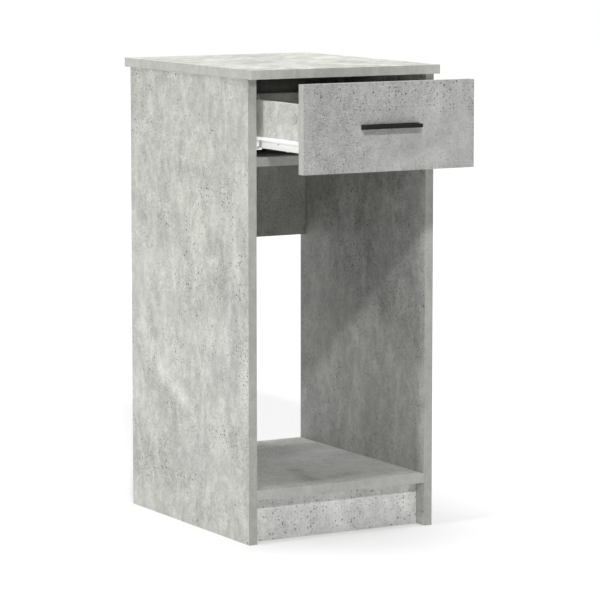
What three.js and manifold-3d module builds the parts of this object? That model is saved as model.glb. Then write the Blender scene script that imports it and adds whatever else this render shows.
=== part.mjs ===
// Desk-side table with one drawer: 15 mm faced board, roller runners and a low bar handle.
// Millimetres, +Z up, +X to the right, front facing -Y. The drawer is modelled pulled out.
// The origin is on the floor, under the middle of the whole model as stored.
import * as THREE from 'three';
import { mergeVertices } from 'three/addons/utils/BufferGeometryUtils.js';
import Module from 'manifold-3d';

const wasm = await Module();
wasm.setup();

// ---- Driving dimensions ----
const boardThickness = 15;
const totalHeight = 760;
const cabinetWidth = 344;
const cabinetDepth = 410;
const topSideOverhang = 3;
const topFrontOverhang = 15;
const topRearOverhang = 15;
const plinthHeight = 72;
const plinthSetback = 24;
const railFront = 392;
const railBottom = 447;
const dividerFront = 1;
const dividerTop = 621.5;

const drawerOpen = 146.5;
const drawerFrontWidth = 311;
const drawerFrontBottom = 604.25;
const drawerFrontTop = 743.75;
const runnerSpace = 12.5;
const drawerBoxLength = 300;
const drawerBoard = 12;
const drawerBoxBottom = 637;
const drawerBoxTop = 710.5;
const bottomPanelThickness = 3;
const bottomPanelLift = 8;
const grooveDepth = 4;

const sheetSteel = 1.25;
const runnerSetback = 2;
const drawerRunnerTop = 653.5;
const runnerFlange = 9.5;
const flangeLip = 2.75;
const cabinetRunnerTop = 666;
const rollerRadius = 8.5;
const rollerWidth = 5.5;
const rollerInset = 12;
const rearRollerInset = 10;
const rollerGap = 0.25;
const runnerWidth = 9.5;
const pinRadius = 2;
const pinHeadRadius = 3.4;
const pinHeadHeight = 0.45;

const handleLength = 105;
const handleHeight = 8;
const handleBarHeight = 6;
const handleDepth = 13;
const handleBarDepth = 5;
const handlePlateDepth = 2;
const handleLegWidth = 8;
const handleRise = 0.75;
const handleHoleSpacing = 96;
const handleScrewGrip = 7;
const handleScrewHeadRadius = 4;

const camRadius = 7.4;
const camLength = 11.5;
const drawerCamLength = 9.5;
const camEdgeDistance = 34;
const drawerCamDistance = 31;
const drawerCamHeight = 688;
const camCapRadius = 7.25;
const camCapThickness = 0.75;
const camSlotLength = 8;
const camSlotWidth = 1.6;
const camSlotDepth = 2;
const boltRadius = 3;
const boltGrip = 9;
const boltReach = 5;
const screwHeadHeight = 1.9;
const screwTip = 2.5;
const screwSlotWidth = 0.9;
const screwSlotDepth = 1;
const boreOverrun = 1;
const clearance = 0.3;
const roundSegments = 18;
const smallSegments = 12;

// ---- Derived places ----
const topUnderside = totalHeight - boardThickness;
const innerHalf = cabinetWidth / 2 - boardThickness;
const drawerHalf = innerHalf - runnerSpace;
const shelfTop = plinthHeight + boardThickness;
const dividerBottom = dividerTop - boardThickness;
const drawerBackPlane = boardThickness + drawerBoxLength;
const topRear = cabinetDepth + topRearOverhang;
const cabinetFront = (drawerOpen + handleDepth - topRear) / 2;
const rollerInner = innerHalf - runnerWidth;
const rollerOuter = rollerInner + rollerWidth;
const rollerHeight = drawerRunnerTop - sheetSteel - rollerGap - rollerRadius;
const trackTop = rollerHeight - rollerRadius - rollerGap;
const handleCentre = (drawerFrontBottom + drawerFrontTop) / 2 + handleRise;

// ---- Materials ----
function finish(color, roughness, metalness = 0) {
  return new THREE.MeshStandardMaterial({ color, roughness, metalness });
}

const boardFinish = finish(0xb4b5ae, 0.62);
const hardboardFinish = finish(0xc9c8c1, 0.7);
const runnerFinish = finish(0xf4f4f1, 0.35);
const rollerFinish = finish(0xf0efe8, 0.5);
const handleFinish = finish(0x151515, 0.42, 0.2);
const zincFinish = finish(0xa9abad, 0.38, 0.9);

// ---- Shape helpers ----
// A closed geometry becomes a solid for cutting, and a solid becomes a geometry again.
function toSolid(geometry) {
  const bare = geometry.clone();
  bare.deleteAttribute('normal');
  bare.deleteAttribute('uv');
  const merged = mergeVertices(bare);
  const vertProperties = new Float32Array(merged.attributes.position.array);
  const triVerts = new Uint32Array(merged.index.array);
  return new wasm.Manifold(new wasm.Mesh({ numProp: 3, vertProperties, triVerts }));
}

function toGeometry(solid) {
  const mesh = solid.getMesh();
  const geometry = new THREE.BufferGeometry();
  geometry.setAttribute('position', new THREE.BufferAttribute(new Float32Array(mesh.vertProperties), 3));
  geometry.setIndex(new THREE.BufferAttribute(new Uint32Array(mesh.triVerts), 1));
  return geometry;
}

function cut(geometry, cutters) {
  return toGeometry(cutters.reduce((solid, cutter) => solid.subtract(toSolid(cutter)), toSolid(geometry)));
}

function join(geometries) {
  const [first, ...others] = geometries.map(toSolid);
  return toGeometry(others.reduce((solid, other) => solid.add(other), first));
}

// A rectangular block between two limits along each axis.
function block([x0, x1], [y0, y1], [z0, z1]) {
  const geometry = new THREE.BoxGeometry(x1 - x0, y1 - y0, z1 - z0);
  return geometry.translate((x0 + x1) / 2, (y0 + y1) / 2, (z0 + z1) / 2);
}

// Turns a shape made along +Y so that it points along the given direction, then moves it to a place.
function aim(geometry, direction, place) {
  const turn = new THREE.Quaternion().setFromUnitVectors(new THREE.Vector3(0, 1, 0), direction);
  return geometry.applyQuaternion(turn).translate(...place);
}

// A cylinder that starts at a place and runs a length along a direction.
function rod(place, direction, radius, length, segments = smallSegments) {
  const geometry = new THREE.CylinderGeometry(radius, radius, length, segments).translate(0, length / 2, 0);
  return aim(geometry, direction, place);
}

function turned(points, segments) {
  const profile = points.map(([radius, along]) => new THREE.Vector2(radius, along));
  return new THREE.LatheGeometry(profile, segments);
}

// An outline in X and Z, extruded from one Y to another.
function extrudeAlongY(outline, y0, y1) {
  const shape = new THREE.Shape(outline.map(([x, z]) => new THREE.Vector2(x, z)));
  const geometry = new THREE.ExtrudeGeometry(shape, { depth: y1 - y0, bevelEnabled: false });
  return geometry.rotateX(Math.PI / 2).translate(0, y1, 0);
}

const alongX = new THREE.Vector3(1, 0, 0);
const alongY = new THREE.Vector3(0, 1, 0);
const alongZ = new THREE.Vector3(0, 0, 1);

function flipped(direction) {
  return direction.clone().negate();
}

// Away from the middle of the table, for the right (+1) or the left (-1) side.
function outward(sign) {
  return sign > 0 ? alongX : flipped(alongX);
}

// The lower limit first, for a span given on the right side and mirrored by the sign.
function span(sign, inner, outer) {
  return sign > 0 ? [inner, outer] : [-outer, -inner];
}

// ---- Fittings ----
// A cam lock lies in a blind bore with its cross slot showing at the face of the board.
// The place is the middle of that face, and inward points into the board.
function camLock(place, inward, length = camLength, moreCutters = []) {
  const body = rod(place, inward, camRadius, length, roundSegments);
  const slot = crossSlot(place, inward, camSlotLength, camSlotWidth, camSlotDepth);
  return cut(body, [...slot, ...moreCutters]);
}

// A blind bore for a shape that starts on a surface, with clearance round it and at its end.
function bore(place, inward, radius, depth, segments = smallSegments) {
  const start = new THREE.Vector3(...place).addScaledVector(inward, -boreOverrun).toArray();
  return rod(start, inward, radius + clearance, depth + clearance + boreOverrun, segments);
}

// A bore right through a sheet or a board.
function throughBore(place, inward, radius, thickness) {
  return bore(place, inward, radius, thickness + boreOverrun);
}

function camBore(place, inward, length = camLength) {
  return bore(place, inward, camRadius, length, roundSegments);
}

// Two crossing bars that cut a screwdriver slot of the given depth into a face.
function crossSlot(place, inward, armLength, armWidth, depth) {
  return [[armLength, armWidth], [armWidth, armLength]].map(([width, length]) =>
    aim(new THREE.BoxGeometry(width, 2 * depth, length), inward, place));
}

// A round-headed screw: its head stands on the surface at the place and its shank runs inward.
function screw(place, inward, shank, shankRadius, headRadius) {
  const outline = [
    [0, -screwHeadHeight], [headRadius * 0.55, -screwHeadHeight * 0.92],
    [headRadius * 0.87, -screwHeadHeight * 0.6], [headRadius, 0],
    [shankRadius, 0], [shankRadius, shank - screwTip], [0, shank],
  ];
  const crown = new THREE.Vector3(...place).addScaledVector(inward, -screwHeadHeight).toArray();
  const slot = crossSlot(crown, inward, headRadius, screwSlotWidth, screwSlotDepth);
  return cut(aim(turned(outline, smallSegments), inward, place), slot);
}

// ---- Cabinet boards, measured from the front plane of the side panels ----
const sides = [['left', -1], ['right', 1]];
const runnerScrewPlaces = [57, 247];
const runnerScrewHeight = 660;
const runnerScrewLength = 13;
const runnerScrewRadius = 1.75;
const runnerScrewHeadRadius = 3.5;
const topCamPlaces = [60, 350];
const shelfCamPlaces = [90, 350];
const dividerCamPlaces = [70, 330];
const railCamHeights = [500, 700];

const camX = innerHalf - camEdgeDistance;
const cabinetCams = [];
for (const [side, sign] of sides) {
  topCamPlaces.forEach((y, i) => cabinetCams.push({
    name: `top_cam_${side}_${i + 1}`, board: `${side}_side_panel`,
    place: [sign * innerHalf, y, topUnderside - camEdgeDistance], inward: outward(sign),
  }));
  shelfCamPlaces.forEach((y, i) => cabinetCams.push({
    name: `shelf_cam_${side}_${i + 1}`, board: 'bottom_shelf',
    place: [sign * camX, y, plinthHeight], inward: alongZ,
  }));
  dividerCamPlaces.forEach((y, i) => cabinetCams.push({
    name: `divider_cam_${side}_${i + 1}`, board: 'drawer_divider',
    place: [sign * camX, y, dividerBottom], inward: alongZ,
  }));
  railCamHeights.forEach((z, i) => cabinetCams.push({
    name: `rail_cam_${side}_${i + 1}`, board: 'rear_rail',
    place: [sign * camX, railFront + boardThickness, z], inward: flipped(alongY),
  }));
  cabinetCams.push({
    name: `plinth_cam_${side}`, board: 'plinth',
    place: [sign * camX, plinthSetback + boardThickness, plinthHeight / 2], inward: flipped(alongY),
  });
}

const boardBlocks = {
  top_panel: block(
    [-cabinetWidth / 2 - topSideOverhang, cabinetWidth / 2 + topSideOverhang],
    [-topFrontOverhang, topRear], [topUnderside, totalHeight]),
  bottom_shelf: block([-innerHalf, innerHalf], [0, cabinetDepth], [plinthHeight, shelfTop]),
  plinth: block(
    [-innerHalf, innerHalf], [plinthSetback, plinthSetback + boardThickness], [0, plinthHeight]),
  drawer_divider: block([-innerHalf, innerHalf], [dividerFront, railFront], [dividerBottom, dividerTop]),
  rear_rail: block(
    [-innerHalf, innerHalf], [railFront, railFront + boardThickness], [railBottom, topUnderside]),
};
for (const [side, sign] of sides) {
  boardBlocks[`${side}_side_panel`] = block(
    span(sign, innerHalf, cabinetWidth / 2), [0, cabinetDepth], [0, topUnderside]);
}

// ---- Runners and rollers ----
const runnerLength = drawerBoxLength - runnerSetback;
const cabinetWeb = innerHalf - sheetSteel;
const frontRollerPlace = runnerSetback + rollerInset;

// The cabinet member: a web on the side panel, a track at its foot and a small upturned lip.
function cabinetRunner(sign) {
  const lipOuter = rollerInner - 0.5;
  const lipInner = lipOuter - 1;
  const outline = [
    [innerHalf, trackTop - sheetSteel], [innerHalf, cabinetRunnerTop], [cabinetWeb, cabinetRunnerTop],
    [cabinetWeb, trackTop], [lipOuter, trackTop], [lipOuter, trackTop + flangeLip],
    [lipInner, trackTop + flangeLip], [lipInner, trackTop - sheetSteel],
  ];
  const rear = runnerSetback + runnerLength;
  const body = extrudeAlongY(outline.map(([x, z]) => [sign * x, z]), runnerSetback, rear);
  const screwHoles = runnerScrewPlaces.map((y) =>
    throughBore([sign * cabinetWeb, y, runnerScrewHeight], outward(sign), runnerScrewRadius, sheetSteel));
  const pinHole = throughBore(
    [sign * cabinetWeb, frontRollerPlace, rollerHeight], outward(sign), pinRadius, sheetSteel);
  return cut(body, [...screwHoles, pinHole]);
}

// The drawer member: a foot under the drawer side, a web on its face and a flange over the roller.
const drawerRunnerFront = boardThickness + runnerSetback;
const spareHolePlaces = [97.5, 192.5];
const spareHoleHeight = 644.5;
const spareHoleRadius = 1.6;
const pilotRadius = 1.3;
const pilotDepth = 8;
const footScrewPlaces = [75, 255];
const footScrewLength = 15;
const footScrewLine = drawerHalf - 5;
const footWidth = drawerBoard + 3;
const footUnderside = drawerBoxBottom - sheetSteel;
const footBoreDepth = footScrewLength - sheetSteel;
const rearRollerPlace = drawerBackPlane - rearRollerInset;

function drawerRunner(sign) {
  const foot = drawerHalf - footWidth;
  const web = drawerHalf + sheetSteel;
  const edge = drawerHalf + 1 + runnerWidth;
  const flangeUnderside = drawerRunnerTop - sheetSteel;
  const outline = [
    [foot, footUnderside], [web, footUnderside], [web, flangeUnderside],
    [edge - sheetSteel, flangeUnderside], [edge - sheetSteel, flangeUnderside - flangeLip],
    [edge, flangeUnderside - flangeLip], [edge, drawerRunnerTop], [drawerHalf, drawerRunnerTop],
    [drawerHalf, drawerBoxBottom], [foot, drawerBoxBottom],
  ];
  const body = extrudeAlongY(outline.map(([x, z]) => [sign * x, z]), drawerRunnerFront, drawerBackPlane);
  const spareHoles = spareHolePlaces.map((y) =>
    throughBore([sign * drawerHalf, y, spareHoleHeight], outward(sign), spareHoleRadius, sheetSteel));
  const footHoles = footScrewPlaces.map((y) =>
    throughBore([sign * footScrewLine, y, footUnderside], alongZ, runnerScrewRadius, sheetSteel));
  const pinHole = throughBore(
    [sign * drawerHalf, rearRollerPlace, rollerHeight], outward(sign), pinRadius, sheetSteel);
  return cut(body, [...spareHoles, ...footHoles, pinHole]);
}

// A nylon roller with a shallow dished face, turned about X.
function roller(sign, y) {
  const hole = pinRadius + clearance / 2;
  const edge = 0.8;
  const dishFloor = rollerWidth - edge;
  const outline = [
    [hole, 0], [rollerRadius - edge, 0], [rollerRadius, edge], [rollerRadius, rollerWidth - edge],
    [rollerRadius - edge, rollerWidth], [hole + 3.5, rollerWidth], [hole + 2.5, dishFloor],
    [hole, dishFloor], [hole, 0],
  ];
  return aim(turned(outline, 2 * roundSegments), outward(sign), [sign * rollerInner, y, rollerHeight]);
}

// A rivet pin between two distances from the middle, with a flat head at its inner or outer end.
function pin(sign, y, from, to, headOutside) {
  const length = to - from;
  const outline = headOutside
    ? [[0, 0], [pinRadius, 0], [pinRadius, length - pinHeadHeight], [pinHeadRadius, length - pinHeadHeight],
      [pinHeadRadius, length], [0, length]]
    : [[0, 0], [pinHeadRadius, 0], [pinHeadRadius, pinHeadHeight], [pinRadius, pinHeadHeight],
      [pinRadius, length], [0, length]];
  return aim(turned(outline, smallSegments), outward(sign), [sign * from, y, rollerHeight]);
}

// ---- Drawer, measured from the front face of the drawer front ----
const boltLine = drawerHalf - drawerBoard / 2;
const camLine = boardThickness + drawerCamDistance;
const panelBottom = drawerBoxBottom + bottomPanelLift;
const panelTop = panelBottom + bottomPanelThickness;
const grooveLimits = [panelBottom, panelTop + clearance];
const boxInnerHalf = drawerHalf - drawerBoard;

function drawerSide(sign) {
  const body = block(
    span(sign, boxInnerHalf, drawerHalf), [boardThickness, drawerBackPlane],
    [drawerBoxBottom, drawerBoxTop]);
  const groove = block(
    span(sign, boxInnerHalf - boreOverrun, boxInnerHalf + grooveDepth),
    [boardThickness - boreOverrun, drawerBackPlane + boreOverrun], grooveLimits);
  const camPlace = [sign * drawerHalf, camLine, drawerCamHeight];
  const boltPlace = [sign * boltLine, boardThickness, drawerCamHeight];
  const boltBore = bore(boltPlace, alongY, boltRadius, drawerCamDistance);
  const footHoles = footScrewPlaces.map((y) =>
    bore([sign * footScrewLine, y, drawerBoxBottom], alongZ, runnerScrewRadius, footBoreDepth));
  const pilotHoles = spareHolePlaces.map((y) =>
    bore([sign * drawerHalf, y, spareHoleHeight], outward(-sign), pilotRadius, pilotDepth));
  const camHole = camBore(camPlace, outward(-sign), drawerCamLength);
  return cut(body, [groove, camHole, boltBore, ...footHoles, ...pilotHoles]);
}

// A thin cap in the board's finish that hides the drawer's cam lock.
function camCap(sign) {
  const edge = 0.25;
  const outline = [
    [0, 0], [camCapRadius, 0], [camCapRadius, camCapThickness - edge],
    [camCapRadius - edge, camCapThickness], [0, camCapThickness],
  ];
  const geometry = turned(outline, 2 * roundSegments);
  return aim(geometry, outward(sign), [sign * drawerHalf, camLine, drawerCamHeight]);
}

// The drawer's cam lock has a seat in its rim for the end of its bolt.
function drawerCam(sign) {
  const seat = bore([sign * boltLine, camLine - camRadius, drawerCamHeight], alongY, boltRadius, boltReach);
  return camLock([sign * drawerHalf, camLine, drawerCamHeight], outward(-sign), drawerCamLength, [seat]);
}

function drawerBolt(sign) {
  const length = boltGrip + drawerCamDistance - camRadius + boltReach - clearance;
  return rod([sign * boltLine, boardThickness - boltGrip, drawerCamHeight], alongY, boltRadius, length);
}

function drawerFront() {
  const body = block(
    [-drawerFrontWidth / 2, drawerFrontWidth / 2], [0, boardThickness], [drawerFrontBottom, drawerFrontTop]);
  const groove = block(
    [-boxInnerHalf - grooveDepth, boxInnerHalf + grooveDepth],
    [boardThickness - grooveDepth, boardThickness + boreOverrun], grooveLimits);
  const boltBores = sides.map(([, sign]) =>
    bore([sign * boltLine, boardThickness, drawerCamHeight], flipped(alongY), boltRadius, boltGrip));
  const screwHoles = sides.map(([, sign]) =>
    throughBore([sign * handleHoleSpacing / 2, 0, handleCentre], alongY, pinRadius, boardThickness));
  return cut(body, [groove, ...boltBores, ...screwHoles]);
}

// The handle: a slim backplate, two short legs and a bar, cast in one piece.
function handle() {
  const half = handleLength / 2;
  const across = (height) => [handleCentre - height / 2, handleCentre + height / 2];
  const plate = block([-half, half], [-handlePlateDepth, 0], across(handleHeight));
  const bar = block([-half, half], [-handleDepth, -handleDepth + handleBarDepth], across(handleBarHeight));
  const legs = sides.map(([, sign]) => block(
    span(sign, half - handleLegWidth, half),
    [-handleDepth + handleBarDepth / 2, -handlePlateDepth / 2], across(handleBarHeight)));
  const screwBores = sides.map(([, sign]) =>
    bore([sign * handleHoleSpacing / 2, 0, handleCentre], flipped(alongY), pinRadius, handleScrewGrip));
  return cut(join([plate, bar, ...legs]), screwBores);
}

function handleScrew(sign) {
  return screw([sign * handleHoleSpacing / 2, boardThickness, handleCentre], flipped(alongY),
    boardThickness + handleScrewGrip, pinRadius, handleScrewHeadRadius);
}

// ---- Assembly ----
const table = new THREE.Group();
const cabinet = new THREE.Group();
cabinet.position.y = cabinetFront;
const drawer = new THREE.Group();
drawer.position.y = cabinetFront - drawerOpen;
table.add(cabinet, drawer);

function place(group, name, geometry, material) {
  const mesh = new THREE.Mesh(geometry, material.clone());
  mesh.name = name;
  group.add(mesh);
}

function panelRunnerBores(sign) {
  return runnerScrewPlaces.map((y) => bore([sign * innerHalf, y, runnerScrewHeight], outward(sign),
    runnerScrewRadius, runnerScrewLength - sheetSteel));
}

for (const [name, body] of Object.entries(boardBlocks)) {
  const itsCams = cabinetCams.filter((cam) => cam.board === name);
  const cutters = itsCams.map((cam) => camBore(cam.place, cam.inward));
  for (const [side, sign] of sides) {
    if (name === `${side}_side_panel`) cutters.push(...panelRunnerBores(sign));
  }
  place(cabinet, name, cutters.length ? cut(body, cutters) : body, boardFinish);
}
for (const cam of cabinetCams) {
  place(cabinet, cam.name, camLock(cam.place, cam.inward), zincFinish);
}

const bottomPanelHalf = boxInnerHalf + grooveDepth - clearance;
place(drawer, 'drawer_front', drawerFront(), boardFinish);
place(drawer, 'drawer_back', block(
  [-boxInnerHalf, boxInnerHalf], [drawerBackPlane - drawerBoard, drawerBackPlane],
  [panelTop + clearance, drawerBoxTop]), boardFinish);
place(drawer, 'drawer_bottom', block(
  [-bottomPanelHalf, bottomPanelHalf], [boardThickness - grooveDepth + clearance, drawerBackPlane],
  [panelBottom, panelTop]), hardboardFinish);
place(drawer, 'drawer_handle', handle(), handleFinish);

for (const [side, sign] of sides) {
  place(cabinet, `cabinet_runner_${side}`, cabinetRunner(sign), runnerFinish);
  place(cabinet, `front_roller_${side}`, roller(sign, frontRollerPlace), rollerFinish);
  place(cabinet, `front_roller_pin_${side}`,
    pin(sign, frontRollerPlace, rollerInner - 0.5, innerHalf, false), zincFinish);
  runnerScrewPlaces.forEach((y, i) => place(cabinet, `cabinet_runner_screw_${side}_${i + 1}`,
    screw([sign * cabinetWeb, y, runnerScrewHeight], outward(sign),
      runnerScrewLength, runnerScrewRadius, runnerScrewHeadRadius), zincFinish));

  place(drawer, `drawer_side_${side}`, drawerSide(sign), boardFinish);
  place(drawer, `drawer_cam_${side}`, drawerCam(sign), zincFinish);
  place(drawer, `drawer_cam_cap_${side}`, camCap(sign), boardFinish);
  place(drawer, `drawer_cam_bolt_${side}`, drawerBolt(sign), zincFinish);
  place(drawer, `handle_screw_${side}`, handleScrew(sign), zincFinish);
  place(drawer, `drawer_runner_${side}`, drawerRunner(sign), runnerFinish);
  place(drawer, `rear_roller_${side}`, roller(sign, rearRollerPlace), rollerFinish);
  place(drawer, `rear_roller_pin_${side}`,
    pin(sign, rearRollerPlace, drawerHalf, rollerOuter + 0.75, true), zincFinish);
  footScrewPlaces.forEach((y, i) => place(drawer, `drawer_runner_screw_${side}_${i + 1}`,
    screw([sign * footScrewLine, y, footUnderside], alongZ,
      footScrewLength, runnerScrewRadius, runnerScrewHeadRadius), zincFinish));
}

export default table;
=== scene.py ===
import math

import bpy
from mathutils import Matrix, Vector

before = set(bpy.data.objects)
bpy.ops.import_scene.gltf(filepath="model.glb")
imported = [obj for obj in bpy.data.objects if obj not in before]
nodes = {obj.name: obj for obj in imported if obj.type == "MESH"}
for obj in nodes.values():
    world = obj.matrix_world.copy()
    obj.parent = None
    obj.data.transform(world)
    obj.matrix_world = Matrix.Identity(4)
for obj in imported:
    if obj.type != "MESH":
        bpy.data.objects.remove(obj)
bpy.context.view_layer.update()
X, Y, Z = 0, 1, 2


# ---- Node building ----
class Shader:
    """A material's node tree, with short calls for the nodes that repeat."""

    def __init__(self, name):
        self.material = bpy.data.materials.new(name)
        self.material.use_nodes = True
        self.tree = self.material.node_tree
        self.tree.nodes.clear()
        self.surface = self.add("ShaderNodeBsdfPrincipled")
        output = self.add("ShaderNodeOutputMaterial")
        self.link(self.surface.outputs["BSDF"], output.inputs["Surface"])
        self.place = self.add("ShaderNodeTexCoord")

    def add(self, kind, **settings):
        node = self.tree.nodes.new(kind)
        for key, value in settings.items():
            setattr(node, key, value)
        return node

    def link(self, source, target):
        self.tree.links.new(source, target)

    def feed(self, socket, value):
        if isinstance(value, bpy.types.NodeSocket):
            self.link(value, socket)
        else:
            socket.default_value = value

    def math(self, operation, a, b=0.0, c=0.0):
        node = self.add("ShaderNodeMath", operation=operation)
        for socket, value in zip(node.inputs, (a, b, c)):
            self.feed(socket, value)
        return node.outputs[0]

    def coords(self, scale=(1, 1, 1), offset=(0, 0, 0), turn=(0, 0, 0)):
        node = self.add("ShaderNodeMapping")
        self.link(self.place.outputs["Object"], node.inputs["Vector"])
        node.inputs["Scale"].default_value = scale
        node.inputs["Location"].default_value = offset
        node.inputs["Rotation"].default_value = turn
        return node.outputs[0]

    def noise(self, vector, scale, detail=3.0, roughness=0.55, distortion=0.0):
        node = self.add("ShaderNodeTexNoise")
        self.link(vector, node.inputs["Vector"])
        node.inputs["Scale"].default_value = scale
        node.inputs["Detail"].default_value = detail
        node.inputs["Roughness"].default_value = roughness
        node.inputs["Distortion"].default_value = distortion
        return node.outputs["Fac"]

    def ramp(self, value, low, high, out_low=0.0, out_high=1.0, smooth=True):
        node = self.add("ShaderNodeMapRange")
        node.interpolation_type = "SMOOTHSTEP" if smooth else "LINEAR"
        limits = {"From Min": low, "From Max": high, "To Min": out_low, "To Max": out_high}
        for key, number in limits.items():
            node.inputs[key].default_value = number
        self.link(value, node.inputs["Value"])
        return node.outputs["Result"]

    def mix(self, factor, a, b):
        node = self.add("ShaderNodeMix", data_type="RGBA")
        self.feed(node.inputs[0], factor)
        self.feed(node.inputs[6], a)
        self.feed(node.inputs[7], b)
        return node.outputs[2]

    def tint(self, colour, value):
        node = self.add("ShaderNodeMix", data_type="RGBA", blend_type="MULTIPLY")
        node.inputs[0].default_value = 1.0
        self.feed(node.inputs[6], colour)
        combine = self.add("ShaderNodeCombineColor")
        for socket in combine.inputs[:3]:
            self.link(value, socket)
        self.link(combine.outputs[0], node.inputs[7])
        return node.outputs[2]

    def bump(self, height, distance, strength=1.0):
        node = self.add("ShaderNodeBump")
        node.inputs["Distance"].default_value = distance
        node.inputs["Strength"].default_value = strength
        self.link(height, node.inputs["Height"])
        self.link(node.outputs["Normal"], self.surface.inputs["Normal"])

    def facing(self, axis):
        """How squarely the surface faces along an axis of the piece, from 0 to 1."""
        split = self.add("ShaderNodeSeparateXYZ")
        self.link(self.place.outputs["Normal"], split.inputs[0])
        return self.math("ABSOLUTE", split.outputs[axis])

    def toward(self, axis, side):
        """1 on the surfaces that face one way along an axis of the piece, 0 on the others."""
        split = self.add("ShaderNodeSeparateXYZ")
        self.link(self.place.outputs["Normal"], split.inputs[0])
        return self.math("GREATER_THAN", self.math("MULTIPLY", split.outputs[axis], side), 0.5)

    def height_ramp(self, low, high):
        """0 below one height of the piece and 1 above another."""
        split = self.add("ShaderNodeSeparateXYZ")
        self.link(self.place.outputs["Object"], split.inputs[0])
        return self.ramp(split.outputs[2], low, high)

    def face_place(self, thin, offset, ragged=0.0012):
        """The place in the plane of a board's face, slightly ragged, as a flat vector."""
        wobble = self.add("ShaderNodeTexNoise")
        self.link(self.place.outputs["Object"], wobble.inputs["Vector"])
        wobble.inputs["Scale"].default_value = 330.0
        wobble.inputs["Detail"].default_value = 2.0
        moved = self.add("ShaderNodeVectorMath", operation="MULTIPLY_ADD")
        self.link(wobble.outputs["Color"], moved.inputs[0])
        moved.inputs[1].default_value = (ragged * 2, ragged * 2, ragged * 2)
        self.link(self.place.outputs["Object"], moved.inputs[2])
        split = self.add("ShaderNodeSeparateXYZ")
        self.link(moved.outputs[0], split.inputs[0])
        first, second = [axis for axis in range(3) if axis != thin]
        flat = self.add("ShaderNodeCombineXYZ")
        self.link(self.math("ADD", split.outputs[first], offset[0]), flat.inputs[0])
        self.link(self.math("ADD", split.outputs[second], offset[1]), flat.inputs[1])
        return flat.outputs[0]


def grey(level, warm=0.0, green=0.0):
    return (level * (1 + warm), level * (1 + green), level * (1 - warm), 1.0)


# ---- Concrete-look board ----
def pits(shader, place, scale, radius, share, cluster):
    """Dark pores: one dot in some cells, and in more of them where the cluster value is high."""
    voronoi = shader.add("ShaderNodeTexVoronoi", voronoi_dimensions="2D")
    voronoi.inputs["Scale"].default_value = scale
    shader.link(place, voronoi.inputs["Vector"])
    split = shader.add("ShaderNodeSeparateColor")
    shader.link(voronoi.outputs["Color"], split.inputs[0])
    chosen = shader.math("ADD", split.outputs[0], shader.math("MULTIPLY_ADD", cluster, share, -1.0))
    size = shader.ramp(chosen, 0.0, share, 0.0, radius, smooth=False)
    size = shader.math("MULTIPLY", size, shader.math("MULTIPLY_ADD", split.outputs[1], 0.7, 0.5))
    return shader.ramp(shader.math("SUBTRACT", size, voronoi.outputs["Distance"]), -0.02, 0.06)


def layer(shader, shade, pattern, amount):
    """Adds a pattern of 0 to 1 to the shade, centred on zero."""
    return shader.math("ADD", shade, shader.math("MULTIPLY_ADD", pattern, amount, -amount / 2))


def along_grain(axis, squash):
    """A scale that stretches a pattern along one axis."""
    return [squash if each == axis else 1.0 for each in range(3)]


def print_patterns(s, grain, offset):
    """The patterns of the concrete print, each from 0 to 1, from the largest to the finest."""
    plain = s.coords(offset=offset)
    streaky = s.coords(scale=along_grain(grain, 0.2), offset=offset)
    threads = s.coords(scale=along_grain(grain, 0.12), offset=offset)
    skewed = s.coords(scale=(1.0, 1.0, 0.45), offset=offset, turn=(0.6, 0.5, 0.4))
    return {
        "hue": s.ramp(s.noise(plain, 6.0, 3.0), 0.35, 0.65),
        "clouds": s.ramp(s.noise(plain, 8.0, 5.0, 0.6, 0.6), 0.34, 0.66),
        "pitted": s.ramp(s.noise(plain, 11.0, 3.0, 0.6), 0.40, 0.66),
        "gritty": s.ramp(s.noise(plain, 17.0, 4.0, 0.6), 0.38, 0.62),
        "patches": s.ramp(s.noise(skewed, 24.0, 6.0, 0.66, 1.1), 0.36, 0.66),
        "streaks": s.ramp(s.noise(streaky, 48.0, 5.0, 0.62, 0.25), 0.3, 0.7),
        "blots": s.ramp(s.noise(plain, 62.0, 5.0, 0.7, 0.6), 0.38, 0.66),
        "specks": s.ramp(s.noise(plain, 250.0, 2.0, 0.5), 0.58, 0.70),
        "sand": s.ramp(s.noise(plain, 360.0, 3.0, 0.75), 0.34, 0.66),
        "hair": s.noise(threads, 420.0, 3.0, 0.6),
    }


def print_shade(s, patterns, mottling, streaking, grit):
    """The lightness of the print around 1, before marks and pores."""
    amounts = {"clouds": 0.16 * mottling, "patches": 0.22 * mottling, "blots": 0.18 * mottling,
               "streaks": 0.10 * streaking, "hair": 0.14 * streaking}
    shade = 1.0
    for pattern, amount in amounts.items():
        shade = layer(s, shade, patterns[pattern], amount)
    sandy, speckled = 0.30, 0.26
    share = s.math("MULTIPLY_ADD", patterns["gritty"], 0.75 * grit, 0.4 * grit)
    grains = s.math("MULTIPLY_ADD", patterns["sand"], sandy, -sandy / 2)
    shade = s.math("ADD", shade, s.math("MULTIPLY", grains, share))
    dots = s.math("MULTIPLY", patterns["specks"], speckled)
    return s.math("SUBTRACT", shade, s.math("MULTIPLY", dots, share))


def print_pores(s, patterns, thin, offset, pit_rise):
    """Large and small pores of the print, in clusters or rising with the height."""
    place = s.face_place(thin, offset)
    cluster = patterns["pitted"]
    if pit_rise:
        cluster = s.math("MAXIMUM", s.math("MULTIPLY", cluster, 0.3), s.height_ramp(*pit_rise))
    big = pits(s, place, 78.0, 0.145, 0.35, cluster)
    small = pits(s, place, 170.0, 0.34, 0.55, s.math("MULTIPLY_ADD", cluster, 0.8, 0.2))
    return s.math("MAXIMUM", big, s.math("MULTIPLY", small, 0.75))


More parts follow.
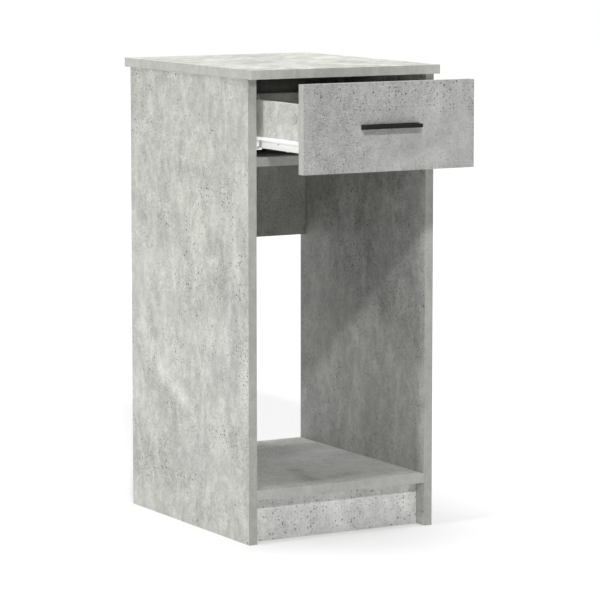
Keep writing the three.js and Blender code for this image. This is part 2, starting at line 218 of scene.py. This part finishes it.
def print_marks_and_painted_shade(s, shade, thin, marks, marked_side):
    """The shade with given soft strokes, on both faces or on one."""
    # Most strokes are print; the broad dark ones are painted shade.
    for mark in marks:
        stroke = trowel_stroke_and_painted_shade(s, thin, *mark)
        if marked_side:
            stroke = s.math("MULTIPLY", stroke, s.toward(thin, marked_side))
        shade = s.math("ADD", shade, stroke)
    return shade


def band_colour(s, patterns, level):
    """The plainer colour of a board's edge bands."""
    shade = 1.0
    for pattern, amount in {"patches": 0.12, "blots": 0.12, "sand": 0.09}.items():
        shade = layer(s, shade, patterns[pattern], amount)
    return s.tint((level, level * 1.015, level * 0.945, 1.0), shade)


def board_material(name, thin, grain, level=0.47, pitting=1.0, streaking=1.0, mottling=1.0, grit=1.0,
                   tint=(1.01, 1.02, 0.935), band=0.93, seed=0.0, marks=(), marked_side=0, pit_rise=None):
    """Printed concrete decor on the faces across the thin axis, a plainer band on the edges.

    thin and grain are axis numbers: the board's thickness and the direction its streaks run.
    marked_side is -1 or 1 where the marks are on one face only.
    """
    s = Shader(name)
    offset = (seed * 1.7, seed * 2.3, seed * 3.1)
    patterns = print_patterns(s, grain, offset)
    shade = print_shade(s, patterns, mottling, streaking, grit)
    shade = print_marks_and_painted_shade(s, shade, thin, marks, marked_side)
    pores = print_pores(s, patterns, thin, offset, pit_rise)
    shade = s.math("MULTIPLY", shade, s.math("MULTIPLY_ADD", pores, -0.75 * pitting, 1.0))
    tinted = [level * part for part in tint]
    cooler = [level, level * 1.01, level * (tint[2] + 0.015)]
    face = s.tint(s.mix(patterns["hue"], (*tinted, 1.0), (*cooler, 1.0)), shade)

    facing = s.facing(thin)
    on_face = s.ramp(facing, 0.70, 0.80)
    seam = s.math("MULTIPLY", s.ramp(facing, 0.25, 0.55), s.ramp(facing, 0.70, 0.85, 1.0, 0.0))
    colour = s.mix(on_face, band_colour(s, patterns, level * band), face)
    s.link(s.tint(colour, s.math("MULTIPLY_ADD", seam, -0.4, 1.0)), s.surface.inputs["Base Color"])

    gloss = s.math("MULTIPLY_ADD", patterns["patches"], 0.12, 0.48)
    s.link(s.math("ADD", gloss, s.math("MULTIPLY", pores, 0.2)), s.surface.inputs["Roughness"])
    ridges = s.math("MULTIPLY", patterns["streaks"], 0.2)
    relief = s.math("SUBTRACT", s.math("MULTIPLY_ADD", patterns["sand"], 0.2, ridges), pores)
    s.bump(s.math("MULTIPLY", relief, on_face), 0.00015)
    s.surface.inputs["Specular IOR Level"].default_value = 0.35
    return s.material


def trowel_stroke_and_painted_shade(s, thin, centre, angle, length, width, strength):
    """A soft lighter or darker stroke on a board's face, at a place and angle in that face; most are
    print, and the broad dark ones are painted shade.
    """
    first, second = [axis for axis in range(3) if axis != thin]
    split = s.add("ShaderNodeSeparateXYZ")
    s.link(s.place.outputs["Object"], split.inputs[0])
    u = s.math("SUBTRACT", split.outputs[first], centre[0])
    v = s.math("SUBTRACT", split.outputs[second], centre[1])
    cosine, sine = math.cos(math.radians(angle)), math.sin(math.radians(angle))
    run = s.math("ADD", s.math("MULTIPLY", u, cosine), s.math("MULTIPLY", v, sine))
    run = s.math("ABSOLUTE", run)
    side = s.math("SUBTRACT", s.math("MULTIPLY", v, cosine), s.math("MULTIPLY", u, sine))
    side = s.math("ABSOLUTE", side)
    lengthways = s.ramp(run, length / 4, length / 2, 1.0, 0.0)
    sideways = s.ramp(side, 0.0, width / 2, 1.0, 0.0)
    return s.math("MULTIPLY", s.math("MULTIPLY", lengthways, sideways), strength)


# ---- Other materials ----
def coated_steel():
    """White coat of the runners, with orange peel and a little dust."""
    s = Shader("white_coated_steel")
    plain = s.coords()
    peel = s.noise(plain, 420.0, 3.0, 0.5)
    dust = s.noise(plain, 34.0, 4.0, 0.6)
    s.link(s.tint(grey(0.97, 0.002, 0.001), s.math("MULTIPLY_ADD", dust, 0.06, 0.965)),
           s.surface.inputs["Base Color"])
    s.link(s.math("MULTIPLY_ADD", dust, 0.2, 0.26), s.surface.inputs["Roughness"])
    s.bump(peel, 0.00008)
    return s.material


def nylon():
    """White plastic of the rollers."""
    s = Shader("white_nylon")
    plain = s.coords()
    haze = s.noise(plain, 260.0, 3.0, 0.6)
    s.link(s.tint(grey(0.88, 0.008, 0.004), s.math("MULTIPLY_ADD", haze, 0.06, 0.96)),
           s.surface.inputs["Base Color"])
    s.link(s.math("MULTIPLY_ADD", haze, 0.16, 0.36), s.surface.inputs["Roughness"])
    s.bump(haze, 0.00006)
    return s.material


def black_coat():
    """Black powder coat of the handle, slightly rubbed."""
    s = Shader("black_powder_coat")
    plain = s.coords()
    grain = s.noise(plain, 2600.0, 2.0, 0.6)
    rub = s.noise(plain, 55.0, 4.0, 0.65)
    s.link(s.tint(grey(0.006), s.math("MULTIPLY_ADD", rub, 0.5, 0.75)), s.surface.inputs["Base Color"])
    s.link(s.math("MULTIPLY_ADD", rub, 0.2, 0.38), s.surface.inputs["Roughness"])
    s.surface.inputs["Specular IOR Level"].default_value = 0.3
    s.bump(grain, 0.00004)
    return s.material


def zinc(name, level, roughness, scratch):
    """Cast or plated zinc, with spangle and fine scratches."""
    s = Shader(name)
    plain = s.coords()
    stretched = s.coords(scale=(1.0, 1.0, 0.1))
    spangle = s.noise(plain, 300.0, 4.0, 0.65)
    lines = s.noise(stretched, 1500.0, 2.0)
    colour = s.tint(grey(level, 0.006), s.math("MULTIPLY_ADD", spangle, 0.3, 0.82))
    s.link(colour, s.surface.inputs["Base Color"])
    s.link(s.math("MULTIPLY_ADD", spangle, 0.25, roughness), s.surface.inputs["Roughness"])
    s.surface.inputs["Metallic"].default_value = 0.95
    s.bump(s.math("MULTIPLY_ADD", lines, scratch, spangle), 0.00005)
    return s.material


def fibreboard():
    """Drawer bottom: pale on its faces, brown on its cut edges."""
    s = Shader("thin_fibreboard")
    plain = s.coords()
    fibres = s.noise(s.coords(scale=(1.0, 0.2, 1.0)), 520.0, 4.0, 0.6)
    mottle = s.noise(plain, 30.0, 4.0, 0.6)
    shade = s.math("MULTIPLY_ADD", fibres, 0.12, s.math("MULTIPLY_ADD", mottle, 0.10, 0.90))
    mask = s.ramp(s.facing(Z), 0.70, 0.80)
    colour = s.mix(mask, s.tint((0.28, 0.21, 0.14, 1.0), shade), s.tint(grey(0.55, 0.004, 0.01), shade))
    s.link(colour, s.surface.inputs["Base Color"])
    s.link(s.math("MULTIPLY_ADD", mottle, 0.15, 0.6), s.surface.inputs["Roughness"])
    s.bump(fibres, 0.0001)
    return s.material


# Edge rounding: metres and degrees
weld_distance = 0.00001
flat_angle = 1
sharp_angle = 50
smooth_angle = 40
board_bevel = 0.0006
runner_bevel = 0.0003
handle_bevel = 0.0008


def dress(node, material, bevel=0.0, segments=2, smooth=True):
    """Gives a CAD node its material, rounds its sharp edges and shades it smooth or flat."""
    piece = nodes[node]
    piece.data.materials.clear()
    piece.data.materials.append(material)
    if bevel:
        weld = piece.modifiers.new("join_corners", "WELD")
        weld.merge_threshold = weld_distance
        flat = piece.modifiers.new("merge_flats", "DECIMATE")
        flat.decimate_type = "DISSOLVE"
        flat.angle_limit = math.radians(flat_angle)
        rounded = piece.modifiers.new("round_edges", "BEVEL")
        rounded.width = bevel
        rounded.segments = segments
        rounded.limit_method = "ANGLE"
        rounded.angle_limit = math.radians(sharp_angle)
    for polygon in piece.data.polygons:
        polygon.use_smooth = smooth
    if smooth:
        split = piece.modifiers.new("smooth_by_angle", "EDGE_SPLIT")
        split.split_angle = math.radians(smooth_angle)


# ---- Boards: thin axis, grain axis and print of each ----
cool = (1.01, 1.01, 0.98)
# Strokes on a face, listed: place in the face, angle, length, width and strength
side_marks = [
    ((0.121, 0.222), 26, 0.17, 0.055, 0.24),
    ((0.208, 0.280), 42, 0.16, 0.075, 0.17),
    ((0.245, 0.360), 75, 0.16, 0.060, 0.12),
    ((0.076, 0.530), 5, 0.16, 0.100, 0.10),
    ((0.050, 0.450), 70, 0.11, 0.060, 0.11),
    ((0.166, 0.475), 80, 0.09, 0.060, -0.15),
    ((0.080, 0.590), 5, 0.18, 0.035, -0.11),
    ((-0.035, 0.440), 80, 0.12, 0.060, -0.10),
    ((-0.115, 0.570), 85, 0.14, 0.050, 0.09),
    # Painted shade: a broad band that darkens the bottom of the panel.
    ((0.000, 0.050), 0, 1.20, 0.360, -0.09),
]
inner_marks = [
    ((0.060, 0.270), 38, 0.15, 0.050, 0.16),
    ((0.010, 0.400), 60, 0.20, 0.110, -0.14),
    # Painted shade: a broad darker area over the upper half of the inner face, standing in for shade
    # inside the cabinet that the lights do not give.
    ((0.050, 0.560), 90, 0.70, 0.800, -0.30),
]
front_marks = [
    ((-0.110, 0.690), 90, 0.22, 0.160, -0.13),
    ((0.080, 0.625), 8, 0.20, 0.040, 0.08),
]
shelf_marks = [
    ((-0.022, -0.045), 77, 0.16, 0.050, -0.22),
    ((0.020, -0.080), 20, 0.14, 0.050, -0.12),
    ((0.100, 0.120), 35, 0.24, 0.120, 0.14),
]
# The levels and edge bands below differ from board to board, from 0.28 on the divider to 0.63 on the top
# and shelf. This is painted light and shade: the one decor is made lighter or darker to match how lit each
# board looks.
drawer_side = dict(thin=X, grain=Y, level=0.57, pitting=0.4, streaking=0.2, grit=0.6)
cam_cap = dict(thin=X, grain=Y, level=0.48, pitting=0.2, mottling=0.4)
boards = {
    "top_panel": dict(thin=Z, grain=X, level=0.63, band=0.79, pitting=0.4, streaking=1.5, seed=0.31),
    "left_side_panel": dict(thin=X, grain=Z, level=0.53, pitting=1.3, streaking=0.55, band=0.66,
                            seed=1.13, marks=side_marks),
    "right_side_panel": dict(thin=X, grain=Z, level=0.415, pitting=1.1, streaking=0.8, band=0.82,
                             tint=(1.01, 1.015, 0.955), seed=2.57, marks=inner_marks, marked_side=-1),
    "bottom_shelf": dict(thin=Z, grain=X, level=0.63, pitting=0.4, streaking=0.7, mottling=0.6, band=0.60,
                         seed=3.21, marks=shelf_marks, tint=(1.01, 1.01, 0.965)),
    "plinth": dict(thin=Y, grain=X, level=0.57, pitting=0.9, streaking=0.2, mottling=0.8, grit=1.1,
                   tint=cool, seed=4.43, pit_rise=(-0.02, -0.01)),
    "drawer_divider": dict(thin=Z, grain=X, level=0.28, pitting=0.4, seed=5.19),
    "rear_rail": dict(thin=Y, grain=Z, level=0.29, pitting=0.35, mottling=0.8, seed=6.71),
    "drawer_front": dict(thin=Y, grain=X, level=0.39, pitting=1.05, streaking=0.2, mottling=0.7,
                         grit=1.2, tint=cool, band=1.20, seed=7.37, pit_rise=(0.655, 0.735),
                         marks=front_marks),
    "drawer_back": dict(thin=Y, grain=X, pitting=0.6, seed=8.53),
    "drawer_side_left": dict(seed=9.11, **drawer_side),
    "drawer_side_right": dict(seed=10.29, **drawer_side),
}
for name, look in boards.items():
    dress(name, board_material("board_" + name, **look), bevel=board_bevel, smooth=False)

steel = coated_steel()
roller_plastic = nylon()
handle_coat = black_coat()
cam_zinc = zinc("cast_zinc", 0.42, 0.38, 0.4)
plated = zinc("zinc_plate", 0.62, 0.24, 0.8)
for name in nodes:
    if "cap" in name:
        dress(name, board_material("printed_" + name, **cam_cap))
    elif "_cam_" in name and "bolt" not in name:
        dress(name, cam_zinc)
    elif "screw" in name or "bolt" in name or "pin" in name:
        dress(name, plated)
    elif "runner" in name:
        dress(name, steel, bevel=runner_bevel, smooth=False)
    elif "roller" in name:
        dress(name, roller_plastic)
dress("drawer_handle", handle_coat, bevel=handle_bevel, segments=3, smooth=False)
dress("drawer_bottom", fibreboard())


# ---- Camera ----
lens = 192.91
camera_place = Vector((-2.604, -4.557, 1.0447))
camera_yaw = 29.723
camera_pitch = 7.322
camera = bpy.data.objects.new("camera", bpy.data.cameras.new("camera"))
camera.data.lens = lens
camera.data.sensor_width = 36.0
camera.location = camera_place
camera.rotation_euler = (math.radians(90 - camera_pitch), 0, -math.radians(camera_yaw))
bpy.context.scene.collection.objects.link(camera)
bpy.context.scene.camera = camera


# ---- Floor and studio light ----
def floor():
    """A pale floor that reaches far past the view."""
    mesh = bpy.data.meshes.new("floor")
    half = 12.0
    corners = [(-half, -half, 0), (half, -half, 0), (half, half, 0), (-half, half, 0)]
    mesh.from_pydata(corners, [], [(0, 1, 2, 3)])
    ground = bpy.data.objects.new("floor", mesh)
    bpy.context.scene.collection.objects.link(ground)
    s = Shader("pale_floor")
    speckle = s.noise(s.coords(), 90.0, 3.0, 0.6)
    s.link(s.tint(grey(0.70), s.math("MULTIPLY_ADD", speckle, 0.02, 0.98)), s.surface.inputs["Base Color"])
    s.surface.inputs["Roughness"].default_value = 0.9
    s.surface.inputs["Specular IOR Level"].default_value = 0.1
    s.surface.inputs["Emission Color"].default_value = (1, 1, 1, 1)
    s.surface.inputs["Emission Strength"].default_value = floor_glow
    mesh.materials.append(s.material)


def lamp(name, strength, azimuth, elevation, angle):
    """A distant light from a direction: azimuth 0 is the table's front, -90 its left."""
    data = bpy.data.lights.new(name, "SUN")
    data.energy = strength
    data.angle = math.radians(angle)
    light = bpy.data.objects.new(name, data)
    a, e = math.radians(azimuth), math.radians(elevation)
    back = Vector((math.sin(a) * math.cos(e), -math.cos(a) * math.cos(e), math.sin(e)))
    light.location = back * lamp_distance
    light.rotation_mode = "QUATERNION"
    light.rotation_quaternion = back.to_track_quat("Z", "Y")
    bpy.context.scene.collection.objects.link(light)


def studio(ambient):
    """A white background for the camera, and a weaker even light for the table."""
    world = bpy.data.worlds.new("studio")
    world.use_nodes = True
    bpy.context.scene.world = world
    tree = world.node_tree
    background = tree.nodes["Background"]
    path = tree.nodes.new("ShaderNodeLightPath")
    strength = tree.nodes.new("ShaderNodeMapRange")
    strength.inputs["To Min"].default_value = ambient
    strength.inputs["To Max"].default_value = 1.0
    tree.links.new(path.outputs["Is Camera Ray"], strength.inputs["Value"])
    tree.links.new(strength.outputs["Result"], background.inputs["Strength"])
    background.inputs["Color"].default_value = (1, 1, 1, 1)


ambient_strength = 0.03
floor_glow = 0.16
key_strength = 1.57
left_strength = 0.85
top_strength = 2.8
fill_strength = 0.25
right_strength = 0.9
lamp_distance = 4.0
floor()
studio(ambient_strength)
lamp("key", key_strength, azimuth=-25, elevation=35, angle=4)
lamp("left", left_strength, azimuth=-88, elevation=26, angle=5)
lamp("overhead", top_strength, azimuth=-30, elevation=86, angle=36)
lamp("right", right_strength, azimuth=100, elevation=14, angle=20)
lamp("fill", fill_strength, azimuth=-29, elevation=3.5, angle=3)
bpy.context.scene.view_settings.view_transform = "Standard"
bpy.context.scene.view_settings.look = "None"
